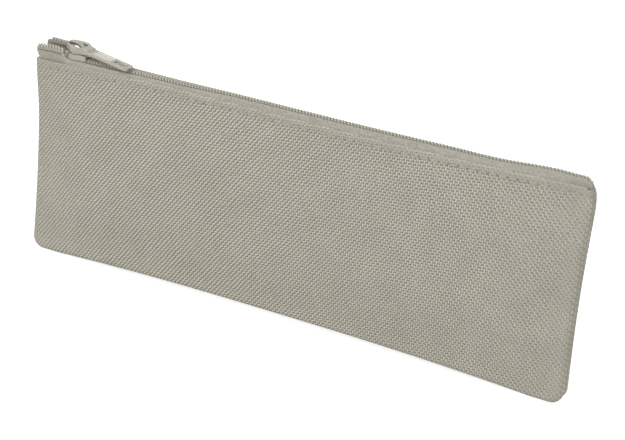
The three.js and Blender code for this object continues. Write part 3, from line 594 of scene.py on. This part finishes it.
def spun_thread():
    """Spun polyester sewing thread: matt, with the slant of its twisted plies."""
    made, tree, where = start_material("spun_polyester_thread")
    # The wave node makes 20 radians to a unit.
    lay = {"Vector": where, "Scale": 2 * math.pi / 20 * per_metre(PLY_STEP), "Distortion": 1.5}
    plies = add_node(tree, "ShaderNodeTexWave", lay, give="Fac", bands_direction="DIAGONAL")
    colours = {0: plies, 6: linear("#aeaa9e"), 7: linear("#c8c4b8")}
    colour = add_node(tree, "ShaderNodeMix", colours, give=2, data_type="RGBA")
    bump = add_node(tree, "ShaderNodeBump", {"Height": plies, "Strength": 0.6, "Distance": 0.04 * MM})
    inputs = {"Base Color": colour, "Roughness": 0.8, "Normal": bump}
    finish_material(tree, inputs)
    return made


def satin_nickel():
    """Die-cast zinc, tumbled and plated in a warm satin nickel: soft grain blurs what it mirrors."""
    made, tree, where = start_material("satin_nickel_on_cast_zinc")
    fine = {"Vector": where, "Scale": per_metre(CAST_GRAIN), "Detail": 3}
    grain = add_node(tree, "ShaderNodeTexNoise", fine)
    broad = {"Vector": where, "Scale": per_metre(TUMBLE_RUN), "Detail": 2}
    patches = add_node(tree, "ShaderNodeTexNoise", broad)
    rough = add_node(tree, "ShaderNodeMapRange", [patches, 0.3, 0.7, 0.26, 0.38])
    bump = add_node(tree, "ShaderNodeBump", {"Height": grain, "Strength": 0.5, "Distance": 0.02 * MM})
    # The sunk panel of the pull's tab is coloured brighter than the rest of the metal.
    from_bar = add_node(tree, "ShaderNodeVectorMath", [where, PULL_BAR], operation="SUBTRACT")
    reach, off = (
        add_node(tree, "ShaderNodeVectorMath", [from_bar, way], give="Value", operation="DOT_PRODUCT")
        for way in (PULL_WAY, PULL_SIDE)
    )
    off = add_node(tree, "ShaderNodeMath", [off], operation="ABSOLUTE")
    start, end = (c * MM for c in SUNK_REACH)
    edges = [(reach, start, start + SUNK_EDGE * MM, 0, 1), (reach, end - SUNK_EDGE * MM, end, 1, 0)]
    edges.append((off, SUNK_HALF * MM, (SUNK_HALF + SUNK_EDGE) * MM, 1, 0))
    sunk = times_levels(tree, 1, edges)
    colours = {0: sunk, 6: linear("#ccc8bd"), 7: linear("#f4f0e6")}
    colour = add_node(tree, "ShaderNodeMix", colours, give=2, data_type="RGBA")
    inputs = {"Base Color": colour, "Metallic": 1, "Roughness": rough, "Normal": bump}
    finish_material(tree, inputs)
    return made


def white_paper():
    """Matt white studio paper: the camera sees it almost white, and it keeps the shadow of the case."""
    made, tree = start_material("white_paper_sweep")[:2]
    ray = add_node(tree, "ShaderNodeLightPath", [], give="Is Camera Ray")
    glow = add_node(tree, "ShaderNodeMapRange", [ray, 0, 1, 0, 0.72])
    inputs = {"Base Color": linear("#f0f0f0"), "Roughness": 0.9, "Emission Color": linear("#ffffff")}
    inputs["Emission Strength"] = glow
    finish_material(tree, inputs)
    return made


cloth = woven_cloth()
# The last colour of each tape is its painted shade under a coil.
tape_cloth = narrow_tape("narrow_woven_tape_face", "#98948a", "#d2cec2", "#8a867b")
tape_lining = narrow_tape("narrow_woven_tape_inside", "#98948a", "#d2cec2", "#98948a")
binding_cloth = narrow_tape("folded_binding_tape", "#989488", "#b0aca0", "#989488")
nylon = drawn_nylon()
thread = spun_thread()
metal = satin_nickel()
paper = white_paper()


# Panels

SIDE_ROWS = 52
ROW_POWER = 1.5  # rows lie closer towards the top
ARC_STEPS = 8
ROLL_ANGLES = [math.radians(a) for a in (-50, -36, -22, -8, 8, 22, 36, 50, 63, 77, 90)]
ROLL_WIDTH = math.cos(math.radians(22))  # of the roll's radius
ROLL_LEVEL = (5, 1)  # below the hem's top, where the roll starts to lie level with it and does
HEM_CROWN = 0.3
HEM_ANGLES = (0.6, 1.1, 1.57, 2.1, 2.6)


def half_line(sign):
    """One half of the seam's line, from the top of a side down round the corner to the middle."""
    line = []
    top = hem_line(sign * half)
    for k in range(SIDE_ROWS):
        share = k / SIDE_ROWS
        z = lerp(top, CORNER_RADIUS, share**ROW_POWER)
        line.append((sign * side_at(z, sign), z, "side"))
    centre = side_at(CORNER_RADIUS, sign) - CORNER_RADIUS
    for k in range(ARC_STEPS + 1):
        angle = math.pi / 2 * k / ARC_STEPS
        x = centre + CORNER_RADIUS * math.cos(angle)
        line.append((sign * x, CORNER_RADIUS * (1 - math.sin(angle)), "corner"))
    columns = round(centre / COLUMN)
    for k in range(1, columns + 1):
        x = centre * (1 - k / columns)
        line.append((sign * x, bottom_at(x), "bottom"))
    return line


def seam_line():
    """The seam's line round the case from the left top to the right top, with the way inwards."""
    line = half_line(-1) + half_line(1)[-2::-1]
    found = []
    for k, (x, z, part) in enumerate(line):
        before = line[max(k - 1, 0)]
        after = line[min(k + 1, len(line) - 1)]
        inward = Vector((before[1] - after[1], after[0] - before[0])).normalized()
        # At the top the roll ends level with the hem.
        level = smoothstep(z, hem_top - ROLL_LEVEL[0], hem_top - ROLL_LEVEL[1])
        inward = inward.lerp(Vector((-math.copysign(1, x), 0)), level).normalized()
        found.append((x, z, part, inward))
    return found


def allowance_at(z, part):
    if part == "corner":
        return CORNER_ALLOWANCE
    return END_ALLOWANCE if part == "side" and z > tape_foot - SEAM_ALLOWANCE else SEAM_ALLOWANCE


def roll_profile(depth, allowance):
    """The roll of the cloth from the turned-in edge out and round to the face, as (inset, depth)."""
    radius = (depth - SEAM_GAP) / (1 - math.sin(ROLL_ANGLES[0]))
    centre = depth - radius
    profile = [(allowance, SEAM_GAP), (lerp(allowance, radius * 0.35, 0.6), SEAM_GAP)]
    for angle in ROLL_ANGLES:
        profile.append((radius * ROLL_WIDTH * (1 - math.cos(angle)), centre + radius * math.sin(angle)))
    return profile


def relief(side, x, z):
    """Small hollows and swells of the cloth: the seam allowance showing through, and soft dents."""
    from_right = side_at(z, 1) - x
    from_left = side_at(z, -1) + x
    from_bottom = z - bottom_at(x)
    from_hem = hem_line(x) - z
    inside = smoothstep(min(from_right, from_left, from_bottom), *DENTS_IN)
    below = smoothstep(from_hem, 0, DENTS_BELOW)
    swell = 0
    for depth, length, height, draw in DENTS:
        swell += depth * noise.noise(Vector((x / length, z / height, draw * side))) * inside * below
    shows = [(from_right, SEAM_SHOWS_RIGHT), (from_left, SEAM_SHOWS_ELSE), (from_bottom, SEAM_SHOWS_ELSE)]
    for distance, depth in shows:
        swell -= depth * math.exp(-(((distance - SEAM_SHOWS_AT) / SEAM_SHOWS_WIDTH) ** 2)) * below
    off_stitch = (from_hem - STITCH_FROM_HEM) / STITCH_HOLLOW_WIDTH
    return swell - STITCH_HOLLOW * math.exp(-(off_stitch**2)) * inside


def panel(side, word):
    """A panel: its roll round the seam, its face and its hem."""
    line = seam_line()
    points = []
    steps = len(ROLL_ANGLES) + 2

    def put(x, depth, z):
        points.append((x, side * depth, z))

    def strip(p, k):
        return p * steps + k

    def face_edge(p):
        x, depth, z = points[strip(p, steps - 1)]
        return Vector((x, z))

    for x, z, part, inward in line:
        for inset, depth in roll_profile(face_depth(x, z), allowance_at(z, part)):
            put(x + inward.x * inset, depth, z + inward.y * inset)
    faces = grid_faces(steps, len(line), lambda k, p: strip(p, k))
    # The roll is closed at its two upper ends.
    faces.append(tuple(strip(0, k) for k in range(steps)))
    faces.append(tuple(strip(len(line) - 1, k) for k in reversed(range(steps))))

    rows = SIDE_ROWS + ARC_STEPS // 2
    columns = len(line) - 1 - 2 * rows
    left = [face_edge(rows - r) for r in range(rows + 1)]
    right = [face_edge(rows + columns + r) for r in range(rows + 1)]
    bottom = [face_edge(rows + c) for c in range(columns + 1)]
    index = {}
    for r in range(rows + 1):
        v = (left[r].y - left[0].y) / (left[rows].y - left[0].y)
        for c in range(columns + 1):
            u = (bottom[c].x - bottom[0].x) / (bottom[columns].x - bottom[0].x)
            if r == 0:
                index[r, c] = strip(rows + c, steps - 1)
            elif c == 0:
                index[r, c] = strip(rows - r, steps - 1)
            elif c == columns:
                index[r, c] = strip(rows + columns + r, steps - 1)
            else:
                high = left[rows].lerp(right[rows], u)
                top = Vector((high.x, hem_line(high.x)))
                low = left[0].lerp(right[0], u)
                place = left[r].lerp(right[r], u) + bottom[c].lerp(top, v) - low.lerp(high, v)
                index[r, c] = len(points)
                put(place.x, face_depth(place.x, place.y) + relief(side, place.x, place.y), place.y)
    faces += grid_faces(rows + 1, columns + 1, lambda r, c: index[r, c])

    # The hem turns over at the top and hangs down inside the face.
    layers = 2 * CLOTH + LAYER_GAP
    turn = [(layers / 2 * (1 - math.cos(a)), HEM_CROWN * math.sin(a)) for a in HEM_ANGLES]
    turn += [(layers, 0), (layers, -HEM_TURN / 2), (layers, -HEM_TURN)]
    for k, (into, up) in enumerate(turn):
        for c in range(columns + 1):
            x, depth, z = points[index[rows, c]]
            depth = min(abs(depth), face_depth(x, hem_line(x) + min(up, 0)))
            index[rows + 1 + k, c] = len(points)
            put(x, depth - into, z + up)
    faces += grid_faces(len(turn) + 1, columns + 1, lambda r, c: index[rows + r, c])
    if side == BACK:
        faces = [tuple(reversed(face)) for face in faces]
    piece = add_piece(f"{word}_cloth", points, faces, "panel_cloth", cloth)
    below = piece.data.attributes.new("below_hem", "FLOAT", "POINT")
    below.data.foreach_set("value", [hem_line(x) - z for x, depth, z in points])
    thicken(piece, CLOTH - LAYER_EASE)
    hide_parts(f"{word}_panel")


# Zip


def end_drop(x):
    """The tape's upper corners are rounded at both ends."""
    past = clamp(x - (zip_right - END_ROUND), 0, END_ROUND) / END_ROUND
    before = clamp(zip_left + EAR_RADIUS - x, 0, EAR_RADIUS) / EAR_RADIUS
    return END_DROP * (1 - math.sqrt(1 - past**2)) + EAR_RADIUS * (1 - math.sqrt(1 - before**2))


def tape_section(side, x):
    """The upper, outer face of a tape from its edge under the teeth to its lower edge."""
    s = spread(x)
    hem = hem_line(x)
    lean, lift = lean_and_lift(x)
    angle = -side * math.radians(lean)
    run = lerp(FREE_RUN, run_out, by_slider(x))
    middle = Vector((s, tape_top + rise(x) + lift))
    flat = Vector((math.cos(angle), math.sin(angle)))
    edge = middle + flat * TAPE_EDGE
    turn = middle + flat * run
    down = turn + Vector(TAPE_TURN)
    hang = tape_lean(x) + 2 * SEAT - COIL_SUNK - EAR_GAP * smoothstep(-x, *EAR_GAP_RUN)
    hang = lerp(hang, TAPE + END_GAP, smoothstep(x, zip_right - END_CLOSE, zip_right))
    foot = hem - TAPE_TUCK
    lower = Vector((min(hang, face_depth(x, foot) - hem_layers), foot))
    over = [edge, turn, turn.lerp(down, 0.5) + Vector(TAPE_ROUND), down]
    over += [Vector((hang + HEM_PRESS, min(hem, down.y - TAPE_FALL))), lower]
    top = hem + EAR_HEIGHT[side]
    start = top - (run - TAPE_EDGE)
    heights = [top] + [lerp(start, hem, k / 3) for k in range(4)]
    standing = [Vector((hang, z)) for z in heights] + [lower]
    section = [a.lerp(b, upright(x)) for a, b in zip(over, standing)]
    highest = max(p.y for p in section)
    share = clamp(end_drop(x) / max(highest - hem, LEAST_STAND), 0, END_DROP_MOST)
    for p in section:
        p.y -= share * max(p.y - hem, 0)
    return section


def placed(side, x, p):
    """A point of a section, moved out along the zip as the parted tape's upper corner reaches out."""
    height = smoothstep(p.y - hem_line(x), 0, EAR_SLANT_RUN)
    caught = BACK_SHORT * smoothstep(x, zip_right - BACK_SHORT_RUN, zip_right) if side == BACK else 0
    return Vector((x - caught - EAR_SLANT[side] * upright(x) * height, side * p.x, p.y))


def zip_stations():
    stations = []
    x = zip_left
    while x < zip_right:
        stations.append(x)
        close = FINE_STATION if x > zip_right - END_ROUND else CLOSE_STATION
        x += close if x < part_start or x > fold_start else STATION
    return stations + [zip_right]


def on_tape(side, x, across, above):
    """A point across from the line where the rows meet, and up from the tape's face."""
    edge, run = tape_section(side, x)[:2]
    along = (run - edge).normalized()
    lift = Vector((-along.y, along.x))
    return placed(side, x, edge + along * (across - TAPE_EDGE) + lift * above)


def zip_tape(side, word):
    points = []
    stations = zip_stations()
    parts = (4, 2, 2, 3, 6)
    width = sum(parts) + 1
    for x in stations:
        section = tape_section(side, x)
        row = [section[0]]
        for k, count in enumerate(parts):
            row += [section[k].lerp(section[k + 1], (q + 1) / count) for q in range(count)]
        points += [placed(side, x, p) for p in row]
    faces = grid_faces(len(stations), width, lambda r, c: r * width + c)
    if side == BACK:
        faces = [tuple(reversed(face)) for face in faces]
    piece = add_piece(f"{word}_zip_tape", points, faces, "zip_tape", tape_cloth)
    # Marks where the tape lies under the coil, for its painted shade.
    under = piece.data.attributes.new("painted_coil_shade", "FLOAT", "POINT")
    under.data.foreach_set("value", [float(k % width < parts[0]) for k in range(len(points))])
    # The coil is sewn down into the soft tape.
    solid = thicken(piece, TAPE, outward=COIL_SUNK / TAPE)
    piece.data.materials.append(tape_lining)
    solid.material_offset = 1
    solid.material_offset_rim = 1
    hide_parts(f"zip_tape_{word}")
    return piece


def coil(side, word):
    """One row of the zip: nylon filament wound in flat loops, between those of the other row."""
    radius = FILAMENT / 2
    low = SEAT + radius
    high = SEAT + TEETH_THICK - radius
    back = TEETH_WIDTH - radius
    tip = -TEETH_BITE + TEETH_GAP / 2 + radius
    # One turn, as (part of the pitch, across, above): over the top, down the back and under to the head.
    turn = [
        (0.0, tip + 0.18, high),
        (0.03, lerp(tip, back, 0.5), high),
        (0.06, back - 0.3, high - 0.04),
        (0.15, back - 0.05, high - 0.16),
        (0.28, back, (low + high) / 2),
        (0.41, back - 0.05, low + 0.12),
        (0.5, back - 0.3, low),
        (0.53, lerp(tip, back, 0.5), low),
        (0.58, tip + 0.18, low),
        (0.72, tip, lerp(low, high, 0.35)),
        (0.88, tip, lerp(low, high, 0.7)),
    ]
    count = math.floor((zip_right - TEETH_STOP - zip_left - TEETH_START) / TEETH_PITCH)
    shift = 0 if side == FRONT else BACK_SHIFT
    points = []
    for k in range(count):
        for along, across, above in turn:
            x = zip_left + TEETH_START + (k + shift + along) * TEETH_PITCH
            points.append(on_tape(side, min(x, zip_right - TEETH_STOP), across, above))
    made, faces = tube(points, radius, ring=8, up=[(1, 0, 0)] * len(points))
    piece = add_piece(f"{word}_zip_coil", made, faces, "zip_coil", nylon)
    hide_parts(f"zip_coil_{word}")
    return piece


def coil_thread(side, word):
    """The thread that sews a coil to its tape, over its turns and under the tape."""
    start = zip_left + TEETH_START
    count = math.floor((zip_right - TEETH_STOP - start) / TEETH_PITCH) - 1
    high = SEAT + TEETH_THICK
    over = []
    under = []
    for k in range(count * SEWING_POINTS):
        x = start + SEWING_START + k * TEETH_PITCH / SEWING_POINTS
        sink = 0.5 - 0.5 * math.cos(2 * math.pi * (k / SEWING_POINTS - 0.02))
        over.append(on_tape(side, x, COIL_THREAD_AT, high - SEWING_DIP * sink))
        under.append(on_tape(side, x, COIL_THREAD_AT, -TAPE - SEWING_BELOW + 2 * SEWING_BELOW * sink))
    parts = [tube(over, SEWING_OVER, flat=0.7), tube(under, SEWING_UNDER, flat=0.8)]
    piece = add_piece(f"{word}_coil_thread", *join(parts), "thread", thread)
    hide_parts(f"coil_thread_{word}")
    return piece


# Stitching and bindings


def stitch(start, end, out, radius):
    """One stitch, arched over the cloth, with both ends sunk into it."""
    points = []
    sizes = []
    for k in range(STITCH_POINTS):
        share = k / (STITCH_POINTS - 1)
        arch = math.sin(math.pi * share) ** 0.6
        points.append(start.lerp(end, share) + out * (STITCH_ARCH * arch - STITCH_SUNK))
        sizes.append(radius * lerp(STITCH_TAPER, 1, arch))
    return tube(points, sizes, ring=6, up=[out] * STITCH_POINTS)


def topstitch(side, word):
    count = math.floor((side_at(hem_top, 1) - EDGE_DEPTH - STITCH_START) / STITCH_LENGTH)
    out = Vector((0, side, 0))
    parts = []
    for k in range(count):
        ends = []
        for share in STITCH_SPAN:
            x = STITCH_START + (k + share) * STITCH_LENGTH
            z = hem_line(x) - STITCH_FROM_HEM
            ends.append(Vector((x, side * (face_depth(x, z) + relief(side, x, z)), z)))
        parts.append(stitch(ends[0], ends[1], out, THREAD / 2))
    piece = add_piece(f"{word}_topstitch", *join(parts), "thread", thread)
    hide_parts(f"topstitch_{word}")


def seam_run(part, sign):
    """Points of the seam's line along one side or the bottom, clear of the corners and the zip."""
    run = []
    for x, z, kind, inward in seam_line():
        if part == "bottom" and kind == "bottom" and abs(x) < half - CORNER_RADIUS - CORNER_CLEAR:
            run.append((Vector((x, 0, z)), Vector((inward.x, 0, inward.y))))
        long = allowance_at(z, kind) == SEAM_ALLOWANCE
        if part == "side" and kind == "side" and long and x * sign > 0 and z > CORNER_RADIUS + CORNER_CLEAR:
            run.append((Vector((x, 0, z)), Vector((inward.x, 0, inward.y))))
    return run


def inner_stitches(run, inset, depth):
    """Separate stitches along a run, on the inside of its turned-in cloth."""
    lengths = [0]
    for a, b in zip(run, run[1:]):
        lengths.append(lengths[-1] + (b[0] - a[0]).length)

    def at(length):
        k = max(i for i, done in enumerate(lengths) if done <= length)
        k = min(k, len(run) - 2)
        share = (length - lengths[k]) / (lengths[k + 1] - lengths[k])
        return run[k][0].lerp(run[k + 1][0], share) + run[k][1].lerp(run[k + 1][1], share) * inset

    count = math.floor(lengths[-1] / STITCH_LENGTH)
    step = lengths[-1] / count
    down = Vector((0, depth, 0))
    parts = []
    for k in range(count):
        start, end = (at((k + share) * step) + down for share in INNER_SPAN)
        parts.append(stitch(start, end, Vector((0, -1, 0)), INNER_THREAD))
    return join(parts)


def binding(run):
    """The tape folded round both turned-in edges, as its outer face."""
    face = SEAM_GAP + CLOTH + SEAT + BINDING
    end = SEAM_ALLOWANCE + SEAT + BINDING
    start = SEAM_ALLOWANCE + SEAT - BINDING_WRAP
    shape = [(start, -face), (lerp(start, end, 0.5), -face), (end - face * 0.6, -face)]
    shape += [(end - face * 0.18, -face * 0.75), (end, 0), (end - face * 0.18, face * 0.75)]
    shape += [(end - face * 0.6, face), (lerp(start, end, 0.5), face), (start, face)]
    points = []
    for place, inward in run:
        points += [place + inward * inset + Vector((0, depth, 0)) for inset, depth in shape]
    faces = grid_faces(len(shape), len(run), lambda c, r: r * len(shape) + c)
    return points, faces


for side, word in ((FRONT, "front"), (BACK, "back")):
    panel(side, word)
    row = (zip_tape(side, word), coil(side, word), coil_thread(side, word))
    topstitch(side, word)
    if side == FRONT:
        # The raised front of the leaning zip is drawn down as the slider runs along it; here its pieces are
        # only given meshes of their own.
        for piece in row:
            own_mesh(piece)

for word, part, sign in (("left", "side", -1), ("bottom", "bottom", 0), ("right", "side", 1)):
    run = seam_run(part, sign)
    inside = SEAM_GAP + CLOTH
    points, faces = inner_stitches(run, SEAM_STITCH_AT, -inside)
    seam = add_piece(f"{word}_seam_thread", points, faces, "thread", thread)
    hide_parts(f"seam_thread_{word}")
    points, faces = binding(run)
    bound = add_piece(f"{word}_binding", points, faces, "binding_cloth", binding_cloth)
    thicken(bound, BINDING - BINDING_EASE)
    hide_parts(f"binding_{word}")
    at = SEAM_ALLOWANCE + SEAT - BINDING_WRAP + BINDING_STITCH
    points, faces = inner_stitches(run, at, -inside - SEAT - BINDING)
    sewn = add_piece(f"{word}_binding_thread", points, faces, "thread", thread)
    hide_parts(f"binding_thread_{word}")

# Slider and pull


def round_cast(name):
    """A CAD casting with its edges tumbled round, in satin nickel."""
    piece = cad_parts[name]
    piece.data.materials.clear()
    piece.data.materials.append(metal)
    fine = piece.modifiers.new("fine skin", "REMESH")
    fine.mode = "VOXEL"
    fine.voxel_size = CAST_SKIN * MM
    fine.use_smooth_shade = True
    tumbled = piece.modifiers.new("tumbled edges", "SMOOTH")
    tumbled.factor = 0.5
    tumbled.iterations = 4


round_cast("slider_body")
round_cast("slider_pull")

# Floor, light and camera

SENSOR = 36
PHOTO_WIDTH = 625
FOCAL_PIXELS = 1572.323
CAMERA_TURNS = (26.4855, 22.6515, 4.3778)  # degrees round to the right, up and rolled
CAMERA_AIM = (9.7207, 0, 41.1497)
CAMERA_AWAY = 556.607
FLOOR = 3  # metres from the middle to each side
FLOOR_CORNERS = [(-1, -1), (1, -1), (1, 1), (-1, 1)]

floor_mesh = bpy.data.meshes.new("floor")
floor_mesh.from_pydata([(x * FLOOR, y * FLOOR, 0) for x, y in FLOOR_CORNERS], [], [(0, 1, 2, 3)])
floor = bpy.data.objects.new("floor", floor_mesh)
bpy.context.scene.collection.objects.link(floor)
floor_mesh.materials.append(paper)

world = bpy.data.worlds.new("studio")
bpy.context.scene.world = world
world.use_nodes = True
sky = world.node_tree
sky.nodes.clear()
way = add_node(sky, "ShaderNodeTexCoord", [], give="Generated")
behind = add_node(sky, "ShaderNodeSeparateXYZ", [way], give="Y")
# What shines mirrors the white sweep behind the case and a dimmer room in front of it.
mirrored = add_node(sky, "ShaderNodeMapRange", [behind, -0.1, 0.7, 0.36, 0.76])
glossy, *straight = (
    add_node(sky, "ShaderNodeLightPath", [], give=f"Is {kind} Ray")
    for kind in ("Glossy", "Camera", "Transmission")
)
level = add_node(sky, "ShaderNodeMix", {0: glossy, 2: 0.44, 3: mirrored})
seen = add_node(sky, "ShaderNodeMath", straight, operation="MAXIMUM")
level = add_node(sky, "ShaderNodeMix", {0: seen, 2: level, 3: 1.0})
light = add_node(sky, "ShaderNodeBackground", {"Color": linear("#ffffff"), "Strength": level})
add_node(sky, "ShaderNodeOutputWorld", {"Surface": light})


def softbox(name, place, aim, size, watts):
    lamp = bpy.data.lights.new(name, "AREA")
    lamp.shape = "RECTANGLE"
    lamp.size, lamp.size_y = size
    lamp.energy = watts
    holder = bpy.data.objects.new(name, lamp)
    holder.location = place
    holder.rotation_euler = (Vector(aim) - Vector(place)).to_track_quat("-Z", "Y").to_euler()
    bpy.context.scene.collection.objects.link(holder)


softbox("left_softbox", (-0.55, -0.55, 0.75), (0, 0, 0.04), (0.9, 0.9), 4.5)
softbox("right_softbox", (0.7, -0.6, 0.6), (0, 0, 0.04), (0.9, 0.9), 2.8)

lens = bpy.data.cameras.new("photo_camera")
lens.sensor_width = SENSOR
lens.sensor_fit = "HORIZONTAL"
lens.lens = FOCAL_PIXELS / PHOTO_WIDTH * SENSOR
lens.clip_start = 0.01
view = bpy.data.objects.new("photo_camera", lens)
bpy.context.scene.collection.objects.link(view)
turn, lift, roll = (math.radians(a) for a in CAMERA_TURNS)
away = Vector((math.sin(turn) * math.cos(lift), -math.cos(turn) * math.cos(lift), math.sin(lift)))
right = (-away).cross(Vector((0, 0, 1))).normalized()
up = right.cross(-away)
across = right * math.cos(roll) + up * math.sin(roll)
upward = up * math.cos(roll) - right * math.sin(roll)
place = Vector(CAMERA_AIM) * MM + away * CAMERA_AWAY * MM
view.matrix_world = Matrix((across, upward, away)).transposed().to_4x4()
view.matrix_world.translation = place
bpy.context.scene.camera = view
bpy.context.scene.view_settings.view_transform = "Standard"
